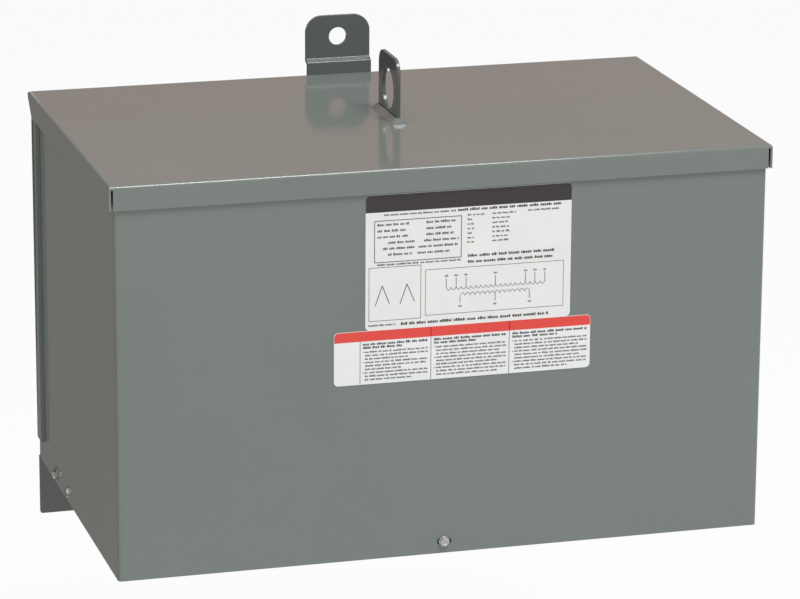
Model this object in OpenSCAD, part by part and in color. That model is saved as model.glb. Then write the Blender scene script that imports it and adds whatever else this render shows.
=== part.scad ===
// Wall-hung dry-type transformer: a resin-filled, three-phase unit in a rainproof sheet-steel case.
// Millimetres. +Z is up, +X to the right and the front looks along -Y. The wall is the plane Y = 0.
// The origin is on the rear face of the hanging bracket, a little below its hole.

/* [Lid] */
// Width of the lid, which is the widest piece
lid_w = 610; // [460:1:900]
// Depth of the lid from front to rear
lid_d = 374; // [280:1:560]
// Height of the lid's turned-down edges
lid_flange_h = 22.2; // [16:0.1:30]
// Gap between the case and the lid's front and rear edges
lid_gap = 0.3; // [0.2:0.1:1.5]
// Gap between the case and the lid's side edges
lid_side_gap = 2.4; // [0.3:0.1:4]
// Gap between the lid's bends and the case's top edges
lid_top_gap = 0.3; // [0.2:0.1:1]
// Width of the relief slots beside the lid's front edge
relief_w = 1.9; // [1:0.1:3]

/* [Case] */
// Height from the lid's top to the bottom edge of the case
case_h = 362.6; // [290:0.1:560]
// Thickness of the sheet steel
sheet = 1.9; // [1.2:0.1:2.5]
// Outside radius of the lid's bends and the case's front bends
bend_r = 3.5; // [3:0.1:6]
// Outside radius of the case's rear bends
rear_bend_r = 6; // [3:0.1:8]
// Width of the lips at the case's rear that the back panel lies on
lip_w = 20; // [14:1:26]
// Distance from the wall to the back panel
wall_gap = 9.5; // [8.5:0.5:30]
// Gap between the core, the pan or the ceiling and the case around it
inner_gap = 0.3; // [0.2:0.1:1]
// Space between the core's top and the lid
headroom = 10; // [6:1:30]

/* [Wiring compartment] */
// Height of the wiring compartment, which is the lowest part of the case
compartment_h = 101.6; // [70:0.1:140]
// Height of the pan's turned-up edges
pan_flange_h = 24; // [20:1:40]
// Distance that the pan's floor sits below the case's edge
pan_drop = 1; // [0:0.1:2]
// Diameter of the relief hole in each front bend, level with the compartment's ceiling
relief_hole_d = 2.5; // [2:0.5:7]
// Radius of the scored conduit knockouts
knockout_r = 22; // [14:0.5:32]
// Depth and width of the score round a knockout
knockout_score = 0.6; // [0.2:0.1:1]
// Number of knockouts
knockout_count = 4; // [1:1:5]
// Distance between neighbouring knockouts
knockout_pitch = 80; // [70:1:90]

/* [Rear corner channels] */
// How far the channels stand proud of the case's sides
channel_proud = 4.3; // [2.6:0.1:8]
// Width of the channels' outer faces
channel_face = 18; // [12:1:30]
// Width of the slope from a channel's outer face down to the case
channel_slope = 8; // [4:1:14]
// Distance from the back panel's rear face to the channels
channel_inset = 8; // [7:1:20]
// Height of the case that is left bare under the channels
channel_bare = 24.6; // [10:0.1:60]

/* [Hanging bracket and feet] */
// Thickness of the bracket, the feet and the lifting eye
plate = 3.4; // [2.5:0.1:5]
// Width of the bracket, the feet and the lifting eye
plate_w = 63.5; // [54:0.1:76]
// Height of the bracket's top edge above the lid
bracket_rise = 56; // [48:0.1:80]
// Height of the hanging hole above the lid
hang_hole_z = 35.3; // [32:0.1:38]
// Distance from the hanging hole's centre down to the origin
origin_drop = 15.3; // [12:0.1:17]
// Height of the bracket's upper bend above the lid
bracket_bend_z = 12; // [10:0.5:14]
// Height in which the plates cross from the wall to the case
joggle_h = 2.5; // [2:0.5:6]
// Radius of the hanging hole, and half the width of the feet's slots
hang_hole_r = 8.75; // [5:0.05:10]
// Radius of the bracket's upper corners
bracket_corner_r = 16; // [6:1:20]
// Radius of the feet's lower corners
foot_corner_r = 2; // [1:0.5:16]
// Length of each plate that lies on the back panel
plate_lap = 75; // [70:1:90]
// Distance that the feet reach below the case
foot_drop = 61.5; // [56:0.5:90]
// Distance from the case's sides to the feet
foot_inset = 1.5; // [1:0.5:60]
// Height of the feet's slots above their lower ends
foot_slot_z = 27; // [20:1:30]
// End-to-end length of the feet's slots
foot_slot_l = 21; // [20:1:34]
// Radius of the heads of the bolts that hold the plates to the back panel
bolt_head_r = 7.5; // [5:0.1:10]
// Height of those heads
bolt_head_h = 4; // [2:0.5:6]
// Radius of those bolts
bolt_r = 4; // [2.5:0.1:4.5]
// Distance between the two bolts of a plate
bolt_pitch = 34; // [22:1:38]

/* [Lifting eye] */
// Height of the eye's top above the lid
eye_rise = 58.5; // [52:0.1:80]
// Height of the eye's hole above the lid
eye_hole_z = 26.2; // [25:0.1:30]
// Radius of the eye's hole
eye_hole_r = 19.05; // [12:0.05:20]
// Radius of the eye's upper corners
eye_corner_r = 13; // [5:1:18]
// Distance from the lid's middle to the eye, towards the rear
eye_shift = 5.4; // [-40:0.1:40]
// Width of the collar that closes the lid round the eye
collar_w = 15; // [10:0.5:24]
// Length of that collar beyond the eye at each end
collar_end = 4; // [2:0.5:12]
// Height of that collar
collar_h = 5; // [3:0.5:6]
// Gap between the eye and what it passes through
eye_gap = 0.3; // [0.2:0.1:0.8]
// Depth that the eye reaches into the core
eye_root = 40; // [20:1:80]

/* [Screws] */
// Height of the front screw above the case's edge
front_screw_z = 11; // [9.5:0.5:14]
// Height of the side screws above the case's edge
side_screw_z = 10; // [9.5:0.5:14]
// Distance from the back panel to the bonding screws
bond_screw_y = 88; // [50:1:110]
// Distance from the back panel to the pan screws
pan_screw_y = 143; // [125:1:200]
// Radius of the screws
screw_r = 2.4; // [1.5:0.1:2.8]
// Length of the screws under their heads
screw_l = 9; // [6:0.5:14]
// Radius of the small heads
head_r = 4.9; // [4:0.1:7]
// Height of the small heads
head_h = 3.6; // [2:0.1:6]
// Radius of the bonding screws' washers
washer_r = 6.8; // [5:0.1:9]
// Thickness of those washers
washer_t = 1.2; // [0.8:0.1:2]
// Gap between a screw and the hole that it is driven into
thread_gap = 0.1; // [0.05:0.05:0.3]
// Gap between a screw and the hole in the case
hole_gap = 0.8; // [0.3:0.1:1]
// End-to-end length of the slot behind the front screw
slot_l = 14; // [8:0.5:20]

/* [Labels] */
// Thickness of the labels
label_t = 0.4; // [0.2:0.1:1]
// Radius of the labels' corners
label_r = 4; // [1:0.5:8]
// Distance from the lid's top down to the line where the labels meet
label_z = 147.5; // [130:0.5:180]
// Width of the rating label
rating_w = 190.5; // [120:0.5:240]
// Height of the rating label
rating_h = 124; // [80:0.5:124]
// Distance from the middle of the case to the middle of the rating label
rating_x = 20.5; // [-60:0.5:60]
// Width of the notice label
notice_w = 238.8; // [120:0.1:300]
// Height of the notice label
notice_h = 49.5; // [30:0.5:80]
// Distance from the middle of the case to the middle of the notice label
notice_x = 15.9; // [-60:0.1:60]

/* [Hidden] */
$fn = 64;

lid_top = origin_drop - hang_hole_z;
case_top = lid_top - bend_r - lid_top_gap;
case_bottom = lid_top - case_h;
flange_bottom = lid_top - lid_flange_h;
ceiling_z = case_bottom + compartment_h;
core_top = lid_top - sheet - headroom;

rear = -wall_gap;
case_rear = rear - sheet;
lid_rear = rear + lid_gap + sheet;
lid_front = lid_rear - lid_d;
front = lid_front + sheet + lid_gap;
side_x = lid_w / 2 - sheet - lid_side_gap;
inner_x = side_x - sheet - inner_gap;
inner_front = front + sheet + inner_gap;
inner_rear = case_rear - sheet - inner_gap;
eye_y = (lid_front + lid_rear) / 2 + eye_shift;
foot_x = side_x - foot_inset - plate_w / 2;
joggle_k = plate * tan(atan2(wall_gap - plate, joggle_h) / 2);
screw_hole_r = screw_r + hole_gap;
clip = lid_flange_h - bend_r + 1;
tiny = 0.01;

paint = [0.49, 0.505, 0.485];
dark_paint = [0.33, 0.33, 0.32];
zinc = [0.72, 0.72, 0.7];
resin = [0.2, 0.19, 0.18];
paper = [0.88, 0.88, 0.84];

// Outline of a sheet bent down at both ends, with its top on the line y = 0
module bent_outline(w, h, r) {
  translate([-w / 2, -h]) square([w, h - r]);
  translate([r - w / 2, -r - tiny]) square([w - 2 * r, r + tiny]);
  for (s = [-1, 1]) translate([s * (w / 2 - r), -r]) circle(r);
}

// Block with its four upper edges rounded and its top at z = 0
module bent_block(w, d, h, r) {
  intersection() {
    rotate([90, 0, 0]) linear_extrude(d, center = true) bent_outline(w, h, r);
    rotate([90, 0, 90]) linear_extrude(w, center = true) bent_outline(d, h, r);
  }
}

// Rectangle from one corner to the opposite one, with its lower and upper corners rounded
module round_rect(low, high, r_low, r_high) {
  translate([low[0] + r_low, low[1]]) square([high[0] - low[0] - 2 * r_low, r_low + tiny]);
  translate([low[0], low[1] + r_low]) square([high[0] - low[0], high[1] - low[1] - r_low - r_high]);
  translate([low[0] + r_high, high[1] - r_high - tiny])
    square([high[0] - low[0] - 2 * r_high, r_high + tiny]);
  for (x = [low[0] + r_low, high[0] - r_low]) translate([x, low[1] + r_low]) circle(r_low);
  for (x = [low[0] + r_high, high[0] - r_high]) translate([x, high[1] - r_high]) circle(r_high);
}

// Obround of length l and width w along X
module obround(l, w) {
  square([l - w, w], center = true);
  for (s = [-1, 1]) translate([s * (l - w) / 2, 0]) circle(w / 2);
}

// Plan of what fills the case from one side to the other
module inner_plan() {
  round_rect([-inner_x, inner_front], [inner_x, inner_rear], bend_r - sheet, rear_bend_r - sheet);
}

// Extrudes a shape drawn in X and Z backwards from y over the distance t
module along_y(y, t) {
  translate([0, y + t, 0]) rotate([90, 0, 0]) linear_extrude(t) children();
}

// Plate that is flat on the wall above its bend, crosses to the case and lies on it below
module joggled_plate(rise, corner_r) {
  along_y(-plate, plate) translate([0, rise])
    intersection() {
      bent_outline(plate_w, rise, corner_r);
      translate([-plate_w / 2, joggle_k - rise]) square([plate_w, rise]);
    }
  rotate([90, 0, 90]) linear_extrude(plate_w, center = true)
    polygon([
      [0, joggle_k + 1], [0, 0], [rear + plate, -joggle_h], [rear + plate, -joggle_h - plate_lap],
      [rear, -joggle_h - plate_lap], [rear, joggle_k - joggle_h], [-plate, joggle_k],
      [-plate, joggle_k + 1]
    ]);
}

// The two bolts of a plate, one over the other, with the plate's bend at z = 0
module plate_bolts(r) {
  for (s = [-1, 1])
    translate([0, 0, -joggle_h - plate_lap / 2 + s * bolt_pitch / 2])
      rotate([90, 0, 0]) {
        translate([0, 0, -rear - plate - bolt_head_h]) cylinder(bolt_head_h, r = bolt_head_r);
        translate([0, 0, -rear - plate]) cylinder(plate + sheet, r = r);
      }
}

// The holes that those bolts pass through
module plate_bolt_holes() {
  for (s = [-1, 1])
    translate([0, 0, -joggle_h - plate_lap / 2 + s * bolt_pitch / 2])
      rotate([90, 0, 0]) cylinder(2 * wall_gap, r = bolt_r + thread_gap);
}

// Places its children at the hanging bracket's bend
module at_bracket() {
  translate([0, 0, lid_top + bracket_bend_z]) children();
}

// Places its children at a foot's bend, which is upside down; side is -1 for left and 1 for right
module at_foot(side) {
  translate([side * foot_x, 0, case_bottom - joggle_h]) mirror([0, 0, 1]) children();
}

// Screw driven towards +X from the origin, with a domed hexagonal head
module screw(washer) {
  rotate([0, 90, 0]) cylinder(screw_l, r = screw_r);
  if (washer) rotate([0, -90, 0]) cylinder(washer_t, r = washer_r);
  translate([washer ? -washer_t : 0, 0, 0]) rotate([0, -90, 0]) {
    cylinder(head_h * 0.3, r = head_r);
    translate([0, 0, head_h * 0.3]) cylinder(head_h * 0.7, r = head_r * 0.86, $fn = 6);
  }
}

// Holes in the sides and the front for every screw, each reaching depth inwards
module screw_holes(r, depth) {
  for (side = [-1, 1], y = [bond_screw_y, pan_screw_y])
    translate([side * (side_x + 1), rear - y, case_bottom + side_screw_z])
      rotate([0, -side * 90, 0]) cylinder(depth, r = r);
}

// Lid with its edges turned down, open at the front corners and mitred at the rear ones
module lid() {
  color(paint) difference() {
    translate([0, (lid_front + lid_rear) / 2, lid_top]) difference() {
      bent_block(lid_w, lid_d, lid_flange_h, bend_r);
      translate([0, 0, -sheet])
        bent_block(lid_w - 2 * sheet, lid_d - 2 * sheet, lid_flange_h, bend_r - sheet);
    }
    for (side = [-1, 1]) {
      translate([side * (lid_w / 2 - sheet - relief_w / 2), lid_front, lid_top - bend_r - lid_flange_h / 2])
        cube([relief_w, 3 * sheet, lid_flange_h], center = true);
      translate([side * (lid_w / 2 - sheet / 2), 0, 0]) rotate([90, 0, 90])
        linear_extrude(sheet + 1, center = true)
          polygon([[lid_rear + 1, flange_bottom + clip + 1], [lid_rear + 1, flange_bottom - 1],
            [lid_rear - clip - 1, flange_bottom - 1]]);
      along_y(rear, sheet + 1) mirror([side < 0 ? 1 : 0, 0])
        polygon([[lid_w / 2 + 1, flange_bottom + clip + 1], [lid_w / 2 + 1, flange_bottom - 1],
          [lid_w / 2 - clip - 1, flange_bottom - 1]]);
    }
    translate([-plate_w / 2 - 1, rear - lid_gap, flange_bottom - 1])
      cube([plate_w + 2, wall_gap, lid_flange_h + 2]);
    translate([0, eye_y, lid_top])
      cube([plate + 2 * eye_gap, plate_w + 2 * eye_gap, 4 * sheet], center = true);
  }
}

// Front and both sides, bent from one sheet, with a lip at each rear corner
module case_wrapper() {
  color(paint) difference() {
    translate([0, 0, case_bottom]) linear_extrude(case_top - case_bottom) difference() {
      round_rect([-side_x, front], [side_x, case_rear], bend_r, rear_bend_r);
      round_rect([sheet - side_x, front + sheet], [side_x - sheet, case_rear - sheet],
        bend_r - sheet, rear_bend_r - sheet);
      translate([lip_w - side_x, case_rear - 2 * sheet]) square([2 * (side_x - lip_w), 3 * sheet]);
    }
    for (side = [-1, 1])
      translate([side * side_x, front, ceiling_z]) rotate([90, 0, side * 45])
        cylinder(4 * bend_r, d = relief_hole_d, center = true);
    along_y(front - 1, sheet + 2) translate([0, case_bottom + front_screw_z])
      obround(slot_l, 2 * screw_hole_r);
    screw_holes(screw_hole_r, sheet + 2);
  }
}

// Flat panel that closes the rear and carries the bracket and the feet
module back_panel() {
  color(paint) difference() {
    translate([rear_bend_r - side_x, case_rear, case_bottom])
      cube([2 * (side_x - rear_bend_r), sheet, case_top - case_bottom]);
    at_bracket() plate_bolt_holes();
    for (side = [-1, 1]) at_foot(side) plate_bolt_holes();
  }
}

// Bottom pan with turned-up edges, which the screws hold, and scored knockouts underneath
module bottom_pan() {
  w = 2 * inner_x;
  d = inner_rear - inner_front;
  middle = (inner_front + inner_rear) / 2;
  color(paint) difference() {
    translate([0, middle, case_bottom - pan_drop]) mirror([0, 0, 1]) difference() {
      bent_block(w, d, pan_flange_h, bend_r);
      translate([0, 0, -sheet]) bent_block(w - 2 * sheet, d - 2 * sheet, pan_flange_h, bend_r - sheet);
    }
    for (x = [-inner_x, inner_x], y = [inner_front, inner_rear])
      translate([x, y, case_bottom])
        cube([2 * rear_bend_r, 2 * rear_bend_r, 3 * pan_flange_h], center = true);
    for (i = [0 : knockout_count - 1])
      translate([(i - (knockout_count - 1) / 2) * knockout_pitch, middle, case_bottom - pan_drop])
        difference() {
          cylinder(2 * knockout_score, r = knockout_r, center = true);
          cylinder(3 * knockout_score, r = knockout_r - knockout_score, center = true);
        }
    translate([0, inner_front - 1, case_bottom + front_screw_z]) rotate([-90, 0, 0])
      cylinder(sheet + 2, r = screw_r + thread_gap);
    screw_holes(screw_r + thread_gap, 2 * sheet + inner_gap + 2);
  }
}

// Sheet between the wiring compartment and the core
module compartment_ceiling() {
  color(dark_paint) translate([0, 0, ceiling_z]) linear_extrude(sheet) inner_plan();
}

// Core and coils, sealed in a block of resin and sand
module potted_core() {
  color(resin) difference() {
    translate([0, 0, ceiling_z + sheet]) linear_extrude(core_top - ceiling_z - sheet) inner_plan();
    translate([-plate / 2 - eye_gap, eye_y - plate_w / 2 - eye_gap, core_top - eye_root])
      cube([plate + 2 * eye_gap, plate_w + 2 * eye_gap, eye_root + 1]);
  }
}

// Folded channel over the rear of one side
module rear_channel(side) {
  back = rear - channel_inset;
  slope_y = back - channel_slope;
  face_y = slope_y - channel_face;
  slant = sheet * channel_slope / (channel_proud + channel_slope);
  bottom = case_bottom + channel_bare;
  color(paint) mirror([side < 0 ? 1 : 0, 0, 0]) difference() {
    translate([side_x, 0, bottom]) linear_extrude(flange_bottom - lid_top_gap - bottom)
      polygon([[0, back], [channel_proud, slope_y], [channel_proud, face_y], [0, face_y],
        [0, face_y + sheet], [channel_proud - sheet, face_y + sheet],
        [channel_proud - sheet, slope_y - slant], [0, back - 2 * sheet]]);
    translate([side_x, 0, bottom]) rotate([90, 0, 90]) translate([0, 0, -1])
      linear_extrude(channel_proud + 2)
        polygon([[back + 1, -1], [back + 1, channel_slope], [slope_y - channel_slope / 2, -1]]);
  }
}

module left_rear_channel() { rear_channel(-1); }

module right_rear_channel() { rear_channel(1); }

// Plate above the case that hangs on the wall's upper bolt
module hanging_bracket() {
  color(paint) difference() {
    at_bracket() joggled_plate(bracket_rise - bracket_bend_z, bracket_corner_r);
    at_bracket() plate_bolt_holes();
    translate([0, 1, lid_top + hang_hole_z]) rotate([90, 0, 0]) cylinder(plate + 2, r = hang_hole_r);
  }
}

module hanging_bracket_bolts() {
  color(zinc) at_bracket() plate_bolts(bolt_r);
}

// Plate under the case with a slot for one of the wall's lower bolts
module foot(side) {
  color(dark_paint) difference() {
    at_foot(side) joggled_plate(foot_drop - joggle_h, foot_corner_r);
    at_foot(side) plate_bolt_holes();
    along_y(-plate - 1, plate + 2) translate([side * foot_x, case_bottom - foot_drop + foot_slot_z])
      obround(foot_slot_l, 2 * hang_hole_r);
  }
}

module left_foot() { foot(-1); }

module right_foot() { foot(1); }

module left_foot_bolts() {
  color(zinc) at_foot(-1) plate_bolts(bolt_r);
}

module right_foot_bolts() {
  color(zinc) at_foot(1) plate_bolts(bolt_r);
}

// Plate with a hole for a crane's hook, standing on the core and rising through the lid
module lifting_eye() {
  color(paint) difference() {
    translate([-plate / 2, eye_y, lid_top + eye_rise]) rotate([90, 0, 90]) linear_extrude(plate)
      bent_outline(plate_w, lid_top + eye_rise - core_top + eye_root, eye_corner_r);
    translate([-plate, eye_y, lid_top + eye_hole_z]) rotate([0, 90, 0])
      cylinder(2 * plate, r = eye_hole_r);
  }
}

// Collar on the lid that closes the eye's slot, sloped on all four sides
module eye_collar() {
  inner = plate / 2 + eye_gap;
  half = plate_w / 2 + collar_end;
  color(paint) translate([0, eye_y, lid_top]) difference() {
    intersection() {
      rotate([90, 0, 0]) linear_extrude(2 * half, center = true)
        polygon([[-collar_w / 2, 0], [collar_w / 2, 0], [inner + 1, collar_h], [-inner - 1, collar_h]]);
      rotate([90, 0, 90]) linear_extrude(collar_w, center = true)
        polygon([[-half, 0], [half, 0], [plate_w / 2 + 1, collar_h], [-plate_w / 2 - 1, collar_h]]);
    }
    translate([-inner, -plate_w / 2 - eye_gap, -1])
      cube([2 * inner, plate_w + 2 * eye_gap, collar_h + 2]);
  }
}

module front_screw() {
  color(zinc) translate([0, front, case_bottom + front_screw_z]) rotate([0, 0, 90]) screw(false);
}

// Screw in one side, y from the back panel; side is -1 for left and 1 for right
module side_screw(side, y, washer) {
  color(zinc) translate([side * side_x, rear - y, case_bottom + side_screw_z])
    rotate([0, 0, side < 0 ? 0 : 180]) screw(washer);
}

module left_bond_screw() { side_screw(-1, bond_screw_y, true); }

module left_pan_screw() { side_screw(-1, pan_screw_y, false); }

module right_bond_screw() { side_screw(1, bond_screw_y, true); }

module right_pan_screw() { side_screw(1, pan_screw_y, false); }

// Label stuck on the front, with its lower edge at z
module label(x, z, w, h) {
  color(paper) along_y(front - label_t, label_t)
    round_rect([x - w / 2, z], [x + w / 2, z + h], label_r, label_r);
}

module rating_label() { label(rating_x, lid_top - label_z, rating_w, rating_h); }

module notice_label() { label(notice_x, lid_top - label_z - notice_h, notice_w, notice_h); }

lid();
case_wrapper();
back_panel();
bottom_pan();
compartment_ceiling();
potted_core();
left_rear_channel();
right_rear_channel();
hanging_bracket();
hanging_bracket_bolts();
left_foot();
right_foot();
left_foot_bolts();
right_foot_bolts();
lifting_eye();
eye_collar();
front_screw();
left_bond_screw();
left_pan_screw();
right_bond_screw();
right_pan_screw();
rating_label();
notice_label();
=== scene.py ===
import math
import random

import bmesh
import bpy
from mathutils import Matrix, Vector


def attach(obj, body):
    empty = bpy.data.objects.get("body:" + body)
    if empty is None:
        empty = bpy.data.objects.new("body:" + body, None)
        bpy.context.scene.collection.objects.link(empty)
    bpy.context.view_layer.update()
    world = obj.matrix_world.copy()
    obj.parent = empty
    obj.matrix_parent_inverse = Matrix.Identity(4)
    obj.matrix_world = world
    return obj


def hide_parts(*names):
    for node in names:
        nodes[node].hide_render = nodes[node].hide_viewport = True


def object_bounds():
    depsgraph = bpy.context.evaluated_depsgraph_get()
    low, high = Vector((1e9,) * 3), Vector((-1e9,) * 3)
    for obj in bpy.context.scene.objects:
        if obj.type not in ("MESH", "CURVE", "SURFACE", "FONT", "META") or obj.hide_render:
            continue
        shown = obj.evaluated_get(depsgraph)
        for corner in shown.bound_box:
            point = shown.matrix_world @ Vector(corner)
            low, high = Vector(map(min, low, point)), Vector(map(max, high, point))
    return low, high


MM = 0.001

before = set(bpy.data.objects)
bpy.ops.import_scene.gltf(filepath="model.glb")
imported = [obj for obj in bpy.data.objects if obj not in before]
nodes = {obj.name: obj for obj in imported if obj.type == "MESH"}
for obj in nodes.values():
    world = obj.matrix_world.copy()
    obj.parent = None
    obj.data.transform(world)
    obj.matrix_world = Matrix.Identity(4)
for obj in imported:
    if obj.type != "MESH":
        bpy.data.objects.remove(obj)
cad_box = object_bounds()

# ---------------------------------------------------------------------------------------------
# Camera: long lens, a little to the left of the front and above it
# ---------------------------------------------------------------------------------------------
CAMERA_PLACE = Vector((-0.9984, -3.7435, 0.8708))
CAMERA_TURN = -15.856
CAMERA_TILT = 16.13
CAMERA_ROLL = 0.325
CAMERA_LENS = 184.7

camera = bpy.data.objects.new("camera", bpy.data.cameras.new("camera"))
bpy.context.scene.collection.objects.link(camera)
camera.data.sensor_width = 36
camera.data.lens = CAMERA_LENS
camera.data.clip_start = 0.1
camera.data.clip_end = 100
camera.matrix_world = (
    Matrix.Translation(CAMERA_PLACE)
    @ Matrix.Rotation(math.radians(CAMERA_TURN), 4, "Z")
    @ Matrix.Rotation(math.radians(90 - CAMERA_TILT), 4, "X")
    @ Matrix.Rotation(math.radians(CAMERA_ROLL), 4, "Z")
)
bpy.context.scene.camera = camera


# ---------------------------------------------------------------------------------------------
# Materials
# ---------------------------------------------------------------------------------------------
class Shader:
    """A material's node tree, with short ways to add and link nodes."""

    def __init__(self, name):
        self.material = bpy.data.materials.new(name)
        self.material.use_nodes = True
        self.tree = self.material.node_tree
        self.surface = self.tree.nodes["Principled BSDF"]
        self.place = self.tree.nodes.new("ShaderNodeTexCoord").outputs["Object"]

    def link(self, output, target):
        self.tree.links.new(output, target)

    def noise(self, scale, detail=2.0, roughness=0.5, stretch=None):
        made = self.tree.nodes.new("ShaderNodeTexNoise")
        made.inputs["Scale"].default_value = scale
        made.inputs["Detail"].default_value = detail
        made.inputs["Roughness"].default_value = roughness
        place = self.place
        if stretch:
            mapping = self.tree.nodes.new("ShaderNodeMapping")
            mapping.inputs["Scale"].default_value = stretch
            self.link(place, mapping.inputs["Vector"])
            place = mapping.outputs["Vector"]
        self.link(place, made.inputs["Vector"])
        return made.outputs["Fac"]

    def spread(self, value, low, high, start=0.3, end=0.7):
        """Maps start..end of a value to low..high."""
        made = self.tree.nodes.new("ShaderNodeMapRange")
        for name, number in (("From Min", start), ("From Max", end), ("To Min", low), ("To Max", high)):
            made.inputs[name].default_value = number
        self.link(value, made.inputs["Value"])
        return made.outputs["Result"]

    def blend(self, factor, first, second):
        """Mixes two colours, each an RGB tuple or an output, by a factor."""
        made = self.tree.nodes.new("ShaderNodeMix")
        made.data_type = "RGBA"
        self.link(factor, made.inputs["Factor"])
        for socket, colour in ((made.inputs[6], first), (made.inputs[7], second)):
            if isinstance(colour, tuple):
                socket.default_value = (*colour, 1)
            else:
                self.link(colour, socket)
        return made.outputs[2]

    def times(self, first, second):
        made = self.tree.nodes.new("ShaderNodeMath")
        made.operation = "MULTIPLY"
        for socket, value in ((made.inputs[0], first), (made.inputs[1], second)):
            if isinstance(value, float):
                socket.default_value = value
            else:
                self.link(value, socket)
        return made.outputs[0]

    def bump(self, height, distance, strength=1.0, below=None):
        made = self.tree.nodes.new("ShaderNodeBump")
        made.inputs["Distance"].default_value = distance
        made.inputs["Strength"].default_value = strength
        self.link(height, made.inputs["Height"])
        if below is not None:
            self.link(below, made.inputs["Normal"])
        return made.outputs["Normal"]

    def edges(self, radius):
        """1 on sharp and bent edges, falling to 0 on flat faces."""
        bevel = self.tree.nodes.new("ShaderNodeBevel")
        bevel.samples = 6
        bevel.inputs["Radius"].default_value = radius
        geometry = self.tree.nodes.new("ShaderNodeNewGeometry")
        dot = self.tree.nodes.new("ShaderNodeVectorMath")
        dot.operation = "DOT_PRODUCT"
        self.link(bevel.outputs["Normal"], dot.inputs[0])
        self.link(geometry.outputs["Normal"], dot.inputs[1])
        return self.spread(dot.outputs["Value"], 1.0, 0.0, 0.75, 0.98)

    def set(self, **values):
        for name, value in values.items():
            socket = self.surface.inputs[name.replace("_", " ")]
            if isinstance(value, (int, float)):
                socket.default_value = value
            elif isinstance(value, tuple):
                socket.default_value = (*value, 1)
            else:
                self.link(value, socket)
        return self.material


def mixed(colour, factor):
    return tuple(min(1.0, c * factor) for c in colour)


def enamel(name, colour, rough=0.1):
    """Sprayed gloss enamel on sheet steel: orange peel, faint clouding, edges lighter partly from paint
    worn thin and partly as a painted highlight along the bends.
    """
    s = Shader(name)
    clouds = s.spread(s.noise(5, 4, 0.6), 0.0, 1.0)
    body = s.blend(clouds, mixed(colour, 0.965), mixed(colour, 1.035))
    specks = s.spread(s.noise(900, 1, 0.4), 0.0, 0.22, 0.66, 0.74)
    body = s.blend(specks, body, mixed(colour, 1.5))
    streaks = s.spread(s.noise(14, 3, 0.6, (1.0, 1.0, 0.12)), 0.0, 0.10, 0.5, 0.75)
    body = s.blend(streaks, body, mixed(colour, 1.25))
    # Lighter along edges and bends: partly paint worn thin, partly a painted highlight on the bends.
    worn_and_painted_sheen = s.times(s.edges(1.3 * MM), s.spread(s.noise(70, 3, 0.6), 0.05, 0.45, 0.35, 0.7))
    body = s.blend(worn_and_painted_sheen, body, mixed(colour, 1.7))
    gloss = s.spread(s.noise(22, 4, 0.6), rough * 0.8, rough * 1.35)
    waves = s.bump(s.noise(4.5, 1, 0.4), 0.35 * MM)
    peel = s.bump(s.noise(420, 2, 0.5), 0.006 * MM, 1.0, waves)
    return s.set(Base_Color=body, Roughness=gloss, Normal=peel, IOR=1.5)


def plated(name, colour, rough=0.3):
    """Zinc-plated steel, a little clouded and yellow in places."""
    s = Shader(name)
    body = s.blend(s.spread(s.noise(260, 3, 0.6), 0.0, 1.0), mixed(colour, 0.8), mixed(colour, 1.15))
    body = s.blend(s.spread(s.noise(120, 2), 0.0, 0.35, 0.5, 0.7), body, (0.62, 0.56, 0.42))
    gloss = s.spread(s.noise(600, 3, 0.6), rough * 0.7, rough * 1.4)
    marks = s.bump(s.noise(1500, 2, 0.6), 0.01 * MM)
    return s.set(Base_Color=body, Roughness=gloss, Normal=marks, Metallic=1.0)


def printed(name, colour, rough=0.36):
    """Printed vinyl or paper film, very slightly uneven."""
    s = Shader(name)
    body = s.blend(s.spread(s.noise(35, 3, 0.6), 0.0, 1.0), mixed(colour, 0.97), mixed(colour, 1.02))
    gloss = s.spread(s.noise(90, 3, 0.6), rough * 0.85, rough * 1.2)
    film = s.bump(s.noise(60, 2, 0.5), 0.03 * MM)
    return s.set(Base_Color=body, Roughness=gloss, Normal=film)


def cast_resin(name, colour):
    s = Shader(name)
    body = s.blend(s.spread(s.noise(60, 4, 0.7), 0.0, 1.0), mixed(colour, 0.6), mixed(colour, 1.6))
    grit = s.bump(s.noise(500, 4, 0.7), 0.2 * MM)
    return s.set(Base_Color=body, Roughness=0.75, Normal=grit)


PAINT = enamel("enamel", (0.183, 0.205, 0.187))
# Darker copy of the case enamel for the eye and bracket, which wear the same paint: painted shade.
SHADED_PLATE_PAINT = enamel("plate_enamel_painted_shade", (0.105, 0.118, 0.113), 0.12)
# Darker copy of the case enamel: painted shade on the feet under the box and on the ceiling inside the
# compartment.
SHADED_PAINT = enamel("dark_enamel", (0.115, 0.122, 0.115), 0.24)
ZINC = plated("zinc", (0.5, 0.5, 0.49))
RESIN = cast_resin("resin", (0.035, 0.032, 0.03))
PAPER = printed("label_film", (0.86, 0.85, 0.83))
NOTICE_PAPER = printed("notice_film", (0.88, 0.88, 0.88))
INK = printed("black_ink", (0.028, 0.022, 0.02), 0.3)
GREY_INK = printed("grey_ink", (0.085, 0.08, 0.08), 0.3)
RED_INK = printed("red_ink", (0.80, 0.062, 0.045), 0.3)


# ---------------------------------------------------------------------------------------------
# Mesh helpers
# ---------------------------------------------------------------------------------------------
def finish_mesh(name, bm, material, smooth_angle=32):
    """Turns a bmesh into a linked object that is smooth except across sharp edges."""
    bmesh.ops.recalc_face_normals(bm, faces=bm.faces)
    for face in bm.faces:
        face.smooth = True
    for edge in bm.edges:
        if len(edge.link_faces) == 2:
            edge.smooth = edge.calc_face_angle(0) < math.radians(smooth_angle)
    mesh = bpy.data.meshes.new(name)
    bm.to_mesh(mesh)
    bm.free()
    mesh.materials.append(material)
    made = bpy.data.objects.new(name, mesh)
    bpy.context.scene.collection.objects.link(made)
    return made


def place(piece, slot, *replaced):
    """Rides a piece on the transformer, and lets it stand for the CAD nodes named."""
    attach(piece, "root")
    if replaced:
        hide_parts(*replaced)


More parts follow.
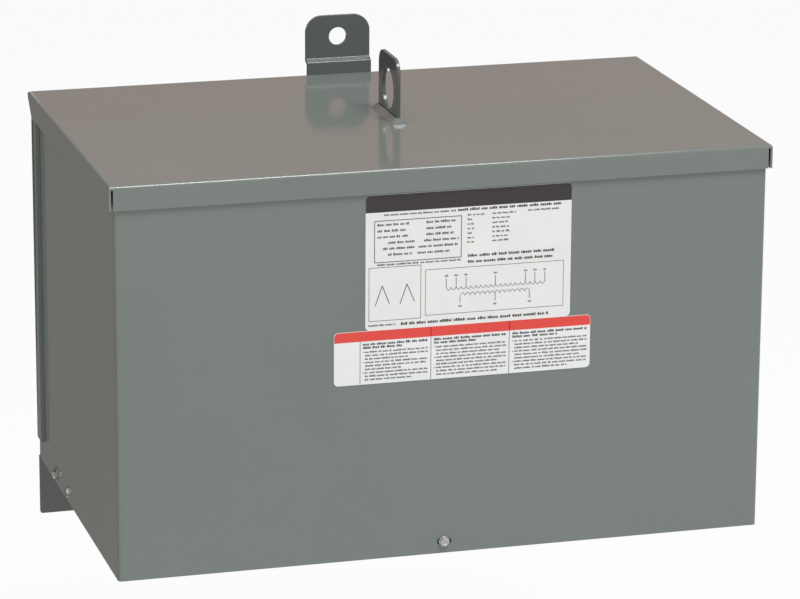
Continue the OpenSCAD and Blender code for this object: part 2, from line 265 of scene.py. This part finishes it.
def apply_modifiers(piece):
    """Makes the modified mesh the piece's own mesh."""
    graph = bpy.context.evaluated_depsgraph_get()
    mesh = bpy.data.meshes.new_from_object(piece.evaluated_get(graph))
    piece.modifiers.clear()
    piece.data = mesh


def round_edges(piece, width, segments=2, angle=40):
    bevel = piece.modifiers.new("edge", "BEVEL")
    bevel.width = width
    bevel.segments = segments
    bevel.limit_method = "ANGLE"
    bevel.angle_limit = math.radians(angle)
    bevel.miter_outer = "MITER_ARC"
    flat = piece.modifiers.new("flat_faces", "WEIGHTED_NORMAL")
    flat.mode = "FACE_AREA"
    flat.weight = 100
    flat.keep_sharp = True


def refine(name, material, slot, edge=0.3 * MM, bend=0):
    """A copy of a CAD node with clean faces, rounded bends and softly rounded edges."""
    bm = bmesh.new()
    bm.from_mesh(nodes[name].data)
    bmesh.ops.remove_doubles(bm, verts=bm.verts, dist=0.004 * MM)
    bmesh.ops.dissolve_limit(bm, angle_limit=math.radians(0.3), verts=bm.verts, edges=bm.edges)
    if bend:
        bends = []
        for e in bm.edges:
            along = (e.verts[1].co - e.verts[0].co)
            turn = e.calc_face_angle(0) if len(e.link_faces) == 2 else 0
            lies_in_x = abs(along.x) > 0.9 * along.length and along.length > 40 * MM
            if lies_in_x and math.radians(20) < turn < math.radians(80):
                bends.append(e)
        bmesh.ops.bevel(bm, geom=bends, offset=bend, segments=4, profile=0.5, affect="EDGES")
    piece = finish_mesh(name + "_finished", bm, material)
    if edge:
        round_edges(piece, edge)
        apply_modifiers(piece)
    place(piece, slot, name)
    return piece


# ---------------------------------------------------------------------------------------------
# Case
# ---------------------------------------------------------------------------------------------
for name in ("lid", "case_wrapper", "back_panel", "bottom_pan", "left_rear_channel",
             "right_rear_channel", "eye_collar"):
    refine(name, PAINT, "enamel")
# Compartment ceiling in the darker copy of the enamel: painted shade inside the compartment.
refine("compartment_ceiling", SHADED_PAINT, "dark_enamel", 0)
refine("potted_core", RESIN, "resin", 0)
# Eye and bracket in the darker copy of the case enamel: painted shade.
refine("lifting_eye", SHADED_PLATE_PAINT, "enamel", 0.5 * MM)
refine("hanging_bracket", SHADED_PLATE_PAINT, "enamel", 0.35 * MM, 0.9 * MM)
# Feet in the darker copy of the enamel: painted shade beneath the box.
for name in ("left_foot", "right_foot"):
    refine(name, SHADED_PAINT, "dark_enamel", 0.35 * MM, 0.9 * MM)

# ---------------------------------------------------------------------------------------------
# Screws and bolts
# ---------------------------------------------------------------------------------------------
SIDE_X = 300.7 * MM
FRONT_Y = -379.1 * MM
REAR_Y = -9.5 * MM
CASE_BOTTOM = -382.6 * MM
PLATE = 3.4 * MM
FOOT_X = 267.45 * MM
BEND_R = 3.5 * MM
CEILING_Z = CASE_BOTTOM + 101.6 * MM


def revolve(bm, profile, sides, turn=0.0):
    """Adds a solid of revolution about +Z from (radius, height) pairs, closed at both ends."""
    rings = []
    for radius, height in profile:
        if radius == 0:
            rings.append([bm.verts.new((0, 0, height))])
        else:
            rings.append([bm.verts.new((radius * math.cos(turn + math.tau * i / sides),
                                        radius * math.sin(turn + math.tau * i / sides), height))
                          for i in range(sides)])
    for low, high in zip(rings, rings[1:]):
        for i in range(sides):
            j = (i + 1) % sides
            corners = [low[i % len(low)], low[j % len(low)], high[j % len(high)], high[i % len(high)]]
            bm.faces.new(list(dict.fromkeys(corners)))


def fastener(name, replaced, at, axis, parts):
    """Screw or bolt whose parts are (profile, sides), heights in mm along the outward axis."""
    bm = bmesh.new()
    turn = 0.3 + 0.7 * random.Random(name).random()
    for profile, sides in parts:
        revolve(bm, [(r * MM, h * MM) for r, h in profile], sides, turn)
    away = Vector(axis).to_track_quat("Z", "Y").to_matrix().to_4x4()
    for place_at in at:
        copy = bm.copy()
        bmesh.ops.transform(copy, matrix=Matrix.Translation(Vector(place_at)) @ away, verts=copy.verts)
        piece = finish_mesh(name if len(at) == 1 else f"{name}_{at.index(place_at) + 1}", copy, ZINC, 28)
        round_edges(piece, 0.15 * MM, 2, 28)
        apply_modifiers(piece)
        place(piece, "zinc", replaced)
    bm.free()


SHANK = ([(0, -8.9), (1.6, -8.9), (2.2, -7.6), (2.2, 0.2), (0, 0.2)], 24)
HEX_HEAD = ([(0, 0.4), (4.5, 0.4), (4.5, 2.9), (3.9, 3.5), (2.3, 3.5), (1.4, 2.5), (0, 2.3)], 6)
FLANGE = ([(0, 0.0), (4.9, 0.0), (4.9, 0.5), (4.2, 1.0), (0, 1.0)], 48)
DOME = ([(0, 0.0), (4.9, 0.0), (4.9, 0.6), (4.5, 1.7), (3.5, 2.7), (2.0, 3.4), (0, 3.6)], 40)
WASHER = ([(0, 0.0), (6.4, 0.0), (6.8, 0.3), (6.8, 0.9), (6.5, 1.2), (0, 1.2)], 48)
RAISED_HEX = ([(0, 1.2), (4.3, 1.2), (4.3, 4.0), (3.6, 4.7), (1.9, 4.7), (1.1, 3.9), (0, 3.7)], 6)
PLATE_BOLT = ([(0, 0.0), (7.4, 0.0), (7.4, 0.5), (7.0, 0.7), (0, 0.7)], 48)
PLATE_HEX = ([(0, 0.6), (6.6, 0.6), (6.6, 3.2), (5.6, 3.95), (2.5, 3.95), (0, 3.8)], 6)
PLATE_SHANK = ([(0, -5.2), (3.9, -5.2), (3.9, 0.1), (0, 0.1)], 32)

fastener("front_pan_screw", "front_screw", [(0, FRONT_Y, CASE_BOTTOM + 11 * MM)], (0, -1, 0),
         [SHANK, FLANGE, HEX_HEAD])
for side, word in ((-1, "left"), (1, "right")):
    fastener(word + "_bonding_screw", word + "_bond_screw",
             [(side * SIDE_X, REAR_Y - 88 * MM, CASE_BOTTOM + 10 * MM)], (side, 0, 0),
             [SHANK, WASHER, RAISED_HEX])
    fastener(word + "_dome_screw", word + "_pan_screw",
             [(side * SIDE_X, REAR_Y - 143 * MM, CASE_BOTTOM + 10 * MM)], (side, 0, 0), [SHANK, DOME])

# Paint that fills the relief hole in each front bend, from the bend's middle outwards
FILLER = [(0, 1.7 * MM), (1.24 * MM, 1.7 * MM), (1.24 * MM, 3.42 * MM), (0, 3.45 * MM)]
for side, word in ((-1, "left"), (1, "right")):
    bm = bmesh.new()
    revolve(bm, FILLER, 24)
    outward = Vector((side, -1, 0)).to_track_quat("Z", "Y").to_matrix().to_4x4()
    centre = Vector((side * (SIDE_X - BEND_R), FRONT_Y + BEND_R, CEILING_Z))
    bmesh.ops.transform(bm, matrix=Matrix.Translation(centre) @ outward, verts=bm.verts)
    place(finish_mesh(word + "_relief_filler", bm, PAINT), "enamel")

PLATE_FACE_Y = REAR_Y + PLATE
FOOT_BOLTS_Z = (CASE_BOTTOM + 20.5 * MM, CASE_BOTTOM + 54.5 * MM)
for name, x, zs in (("hanging_bracket_bolts", 0, (-31 * MM, -65 * MM)),
                    ("left_foot_bolts", -FOOT_X, FOOT_BOLTS_Z),
                    ("right_foot_bolts", FOOT_X, FOOT_BOLTS_Z)):
    fastener(name + "_finished", name, [(x, PLATE_FACE_Y, z) for z in zs], (0, 1, 0),
             [PLATE_SHANK, PLATE_BOLT, PLATE_HEX])

# ---------------------------------------------------------------------------------------------
# Labels: paper from the CAD, and ink in bars and lines, without words
# ---------------------------------------------------------------------------------------------
refine("rating_label", PAPER, "label", 0)
refine("notice_label", NOTICE_PAPER, "label", 0)
INK_FACE_Y = FRONT_Y - 0.4 * MM
INK_DEPTH = 0.05 * MM


class Print:
    """Ink of one colour, drawn as thin blocks on the labels; X and Z are in mm."""

    def __init__(self, name, material, seed=1):
        self.name, self.material = name, material
        self.bm = bmesh.new()
        self.random = random.Random(seed)

    def quad(self, corners):
        front = [self.bm.verts.new((x * MM, INK_FACE_Y - INK_DEPTH, z * MM)) for x, z in corners]
        back = [self.bm.verts.new((x * MM, INK_FACE_Y, z * MM)) for x, z in corners]
        n = len(corners)
        self.bm.faces.new(front)
        self.bm.faces.new(back[::-1])
        for i in range(n):
            self.bm.faces.new((front[i], front[(i + 1) % n], back[(i + 1) % n], back[i]))

    def bar(self, x0, x1, z, h):
        self.quad([(x0, z - h / 2), (x1, z - h / 2), (x1, z + h / 2), (x0, z + h / 2)])

    def line(self, a, b, w):
        (x0, z0), (x1, z1) = a, b
        length = math.hypot(x1 - x0, z1 - z0)
        px, pz = -(z1 - z0) / length * w / 2, (x1 - x0) / length * w / 2
        self.quad([(x0 - px, z0 - pz), (x1 - px, z1 - pz), (x1 + px, z1 + pz), (x0 + px, z0 + pz)])

    def path(self, points, w):
        for a, b in zip(points, points[1:]):
            self.line(a, b, w)

    def coil(self, x0, x1, z, height, turns):
        """A winding, as a row of scallops of the given height."""
        step = (x1 - x0) / turns
        self.path([(x0 + step * (i + k / 4), z + height * math.sin(math.pi * k / 4))
                   for i in range(turns) for k in range(4)] + [(x1, z)], 0.5)

    def box(self, x0, x1, z0, z1, w):
        self.path([(x0, z0), (x1, z0), (x1, z1), (x0, z1), (x0, z0)], w)

    def words(self, x0, x1, z, h, low=3.0, high=9.0):
        """A row of word-length bars, each broken up into letter-width pieces."""
        h *= 1.3
        x = x0
        while x < x1 - 1.0:
            end = min(x + self.random.uniform(low, high), x1)
            while x < end - 0.3:
                piece = min(h * self.random.uniform(0.45, 0.8), end - x)
                tall = h * self.random.choice((0.75, 0.75, 0.85, 1.0))
                self.quad([(x, z - h / 2), (x + piece, z - h / 2), (x + piece, z - h / 2 + tall),
                           (x, z - h / 2 + tall)])
                x += piece + h * 0.16
            x = end + h * 0.7

    def done(self):
        place(finish_mesh(self.name, self.bm, self.material), "label")


def rounded_band(x0, x1, z0, z1, r):
    """Band that follows a label's two upper corners."""
    points = [(x0, z0), (x1, z0)]
    for centre, start in (((x1 - r, z1 - r), 0), ((x0 + r, z1 - r), 90)):
        points += [(centre[0] + r * math.cos(math.radians(start + a)),
                    centre[1] + r * math.sin(math.radians(start + a))) for a in range(0, 91, 15)]
    return points


ink = Print("label_band", INK, 3)
ink.quad(rounded_band(-74.7, 115.7, -59.5, -43.8, 3.8))
ink.done()

ink = Print("rating_lines", GREY_INK, 4)
ink.words(-58, 8, -62.2, 1.3)
ink.words(75, 104, -66.3, 1.3)
ink.box(-66.5, 13.3, -105.3, -67.4, 0.7)
for row, (z, left, right) in enumerate((
        (-71, (-64, -35), (-19, 8)), (-76.6, (-64, -38), (-19, 4)), (-82.1, (-64, -36), (-19, 6)),
        (-87.6, (-54, -29), (-21, 11)), (-93, (-59, -30), (-26, 10)), (-98.5, (-54, -32), (-27, 4)))):
    ink.words(*left, z, 1.7)
    ink.words(*right, z, 1.7)
ink.words(-64, 13, -107.6, 1.3)
ink.box(-71.5, -23.8, -159, -110, 0.5)
for apex, left, right in (((-59.3, -126.9), (-65.7, -144.9), (-52.8, -143.5)),
                          ((-36.6, -126.7), (-42.9, -144.5), (-29.6, -142.9))):
    ink.path([left, apex, right], 0.75)
for z in (-67, -71.2, -75.4, -79.6, -83.8, -88, -92):
    ink.words(19, 25 if z < -67 else 35, z, 1.3, 2, 4)
    ink.words(42, 58 if z < -67 else 64, z, 1.3, 2, 5)
ink.box(-19.5, 109, -157, -115, 0.45)
ink.coil(-0.3, 91.7, -132.6, -2.7, 20)
for x in (-0.3, 8.9, 18.1, 45.3, 73.4, 82.3, 91.7):
    ink.line((x, -133), (x, -124), 0.6)
    ink.words(x - 1.5, x + 1.7, -121.8, 1.3, 2, 4)
ink.coil(12.6, 77.4, -141, 2.7, 14)
for x in (12.6, 45.3, 77.4):
    ink.line((x, -141), (x, -148), 0.6)
    ink.words(x - 1.5, x + 1.7, -150.6, 1.3, 2, 4)
ink.words(-72, -47, -163, 1.2)
ink.done()

ink = Print("rating_headings", INK, 5)
ink.words(10, 107, -61.8, 1.9, 5, 12)
ink.words(19.5, 100, -104.5, 1.9, 4, 11)
ink.words(19.5, 100, -110, 1.9, 4, 11)
ink.words(-42, 95, -163, 2.0, 5, 12)
ink.done()

ink = Print("notice_band", RED_INK, 6)
ink.quad(rounded_band(-103.2, 135.0, -177, -167.8, 3.8))
ink.done()

ink = Print("notice_lines", INK, 7)
ink.line((-79.5, -177), (-79.5, -216.6), 0.5)
for x in (-14, 59):
    ink.line((x, -168), (x, -216.6), 0.5)
for x0, x1 in ((-77, -17), (-11, 56), (62, 132)):
    ink.words(x0, x1, -179.8, 1.7, 4, 9)
    ink.words(x0, x0 + 0.6 * (x1 - x0), -182.9, 1.7, 4, 9)
ink.done()

ink = Print("notice_text", GREY_INK, 8)
for x0, x1 in ((-77, -17), (-11, 56), (62, 132)):
    for row in range(9):
        z = -187 - 3.2 * row
        if row % 3 == 0:
            ink.bar(x0, x0 + 0.9, z, 0.9)
        ink.words(x0 + 2, x1 - (ink.random.uniform(4, 26) if row % 3 == 2 else 0), z, 1.25, 2, 8)
ink.done()

bpy.context.scene.view_settings.view_transform = "Standard"

# ---------------------------------------------------------------------------------------------
# Studio: pale floor, white surroundings, one soft key light and four flats for the reflections
# ---------------------------------------------------------------------------------------------
FLOOR_DROP = 0.25


def seen_directly(tree):
    """1 for camera, glossy and transmission rays, else 0."""
    path = tree.nodes.new("ShaderNodeLightPath")
    total = path.outputs["Is Camera Ray"]
    for name in ("Is Glossy Ray", "Is Transmission Ray"):
        largest = tree.nodes.new("ShaderNodeMath")
        largest.operation = "MAXIMUM"
        tree.links.new(total, largest.inputs[0])
        tree.links.new(path.outputs[name], largest.inputs[1])
        total = largest.outputs[0]
    return total


def flat_sheet(name, corners, material):
    mesh = bpy.data.meshes.new(name)
    mesh.from_pydata(corners, [], [range(len(corners))])
    mesh.materials.append(material)
    made = bpy.data.objects.new(name, mesh)
    bpy.context.scene.collection.objects.link(made)
    return made


def floor():
    material = bpy.data.materials.new("floor")
    material.use_nodes = True
    tree = material.node_tree
    tree.nodes.clear()
    diffuse = tree.nodes.new("ShaderNodeBsdfDiffuse")
    diffuse.inputs["Color"].default_value = (0.95, 0.95, 0.95, 1)
    glow = tree.nodes.new("ShaderNodeEmission")
    factor = tree.nodes.new("ShaderNodeMath")
    factor.operation = "MULTIPLY"
    factor.inputs[1].default_value = 0.9
    mix = tree.nodes.new("ShaderNodeMixShader")
    output = tree.nodes.new("ShaderNodeOutputMaterial")
    tree.links.new(seen_directly(tree), factor.inputs[0])
    tree.links.new(factor.outputs[0], mix.inputs[0])
    tree.links.new(diffuse.outputs[0], mix.inputs[1])
    tree.links.new(glow.outputs[0], mix.inputs[2])
    underside = tree.nodes.new("ShaderNodeNewGeometry")
    clear = tree.nodes.new("ShaderNodeBsdfTransparent")
    side = tree.nodes.new("ShaderNodeMixShader")
    tree.links.new(underside.outputs["Backfacing"], side.inputs[0])
    tree.links.new(mix.outputs[0], side.inputs[1])
    tree.links.new(clear.outputs[0], side.inputs[2])
    tree.links.new(side.outputs[0], output.inputs["Surface"])
    z = cad_box[0].z - FLOOR_DROP
    flat_sheet("floor", [(-30, -30, z), (30, -30, z), (30, 30, z), (-30, 30, z)], material)


def reflected_flat(name, corners, colour):
    """A painted flat beside the set that only the gloss of the paint shows."""
    material = bpy.data.materials.new(name)
    material.use_nodes = True
    tree = material.node_tree
    tree.nodes.clear()
    glow = tree.nodes.new("ShaderNodeEmission")
    glow.inputs["Color"].default_value = (*colour, 1)
    output = tree.nodes.new("ShaderNodeOutputMaterial")
    tree.links.new(glow.outputs[0], output.inputs["Surface"])
    made = flat_sheet(name, corners, material)
    made.visible_camera = False
    made.visible_diffuse = False
    made.visible_shadow = False
    made.visible_transmission = False
    return made


def upright(y, x0, x1, z0, z1):
    """Corners of an upright sheet that faces along Y."""
    return [(x0, y, z0), (x1, y, z0), (x1, y, z1), (x0, y, z1)]


def surroundings():
    world = bpy.data.worlds.new("surroundings")
    world.use_nodes = True
    bpy.context.scene.world = world
    tree = world.node_tree
    tree.nodes.clear()
    lighting = tree.nodes.new("ShaderNodeBackground")
    lighting.inputs["Color"].default_value = (0.97, 1.0, 1.0, 1)
    lighting.inputs["Strength"].default_value = 0.5
    white = tree.nodes.new("ShaderNodeBackground")
    white.inputs["Strength"].default_value = 1.0
    mix = tree.nodes.new("ShaderNodeMixShader")
    output = tree.nodes.new("ShaderNodeOutputWorld")
    tree.links.new(seen_directly(tree), mix.inputs[0])
    tree.links.new(lighting.outputs[0], mix.inputs[1])
    tree.links.new(white.outputs[0], mix.inputs[2])
    tree.links.new(mix.outputs[0], output.inputs["Surface"])


def softbox(name, place_at, aim, size, power, colour=(1, 1, 1)):
    light = bpy.data.lights.new(name, "AREA")
    light.shape = "SQUARE"
    light.size = size
    light.energy = power
    light.color = colour
    made = bpy.data.objects.new(name, light)
    bpy.context.scene.collection.objects.link(made)
    made.location = place_at
    made.rotation_euler = (Vector(aim) - Vector(place_at)).to_track_quat("-Z", "Y").to_euler()
    return made


floor()
surroundings()
softbox("key", (0.5, -1.6, 3.0), (0, -0.2, -0.2), 1.3, 85)
BROWN = (0.43, 0.27, 0.25)
WARM_GREY = (0.235, 0.2, 0.19)
NEAR_BLACK = (0.06, 0.058, 0.056)
reflected_flat("rear_flat", upright(1.5, -4, 4, 0.15, 5), BROWN)
reflected_flat("left_flat", upright(0.5, -3, -0.36, -0.69, 2), WARM_GREY)
reflected_flat("low_flat", upright(0.5, -0.36, -0.1, -0.69, 0), NEAR_BLACK)
reflected_flat("ground_flat",
               [(-3, -0.5, -0.68), (-0.36, -0.5, -0.68), (-0.36, 0.5, -0.68), (-3, 0.5, -0.68)],
               WARM_GREY)
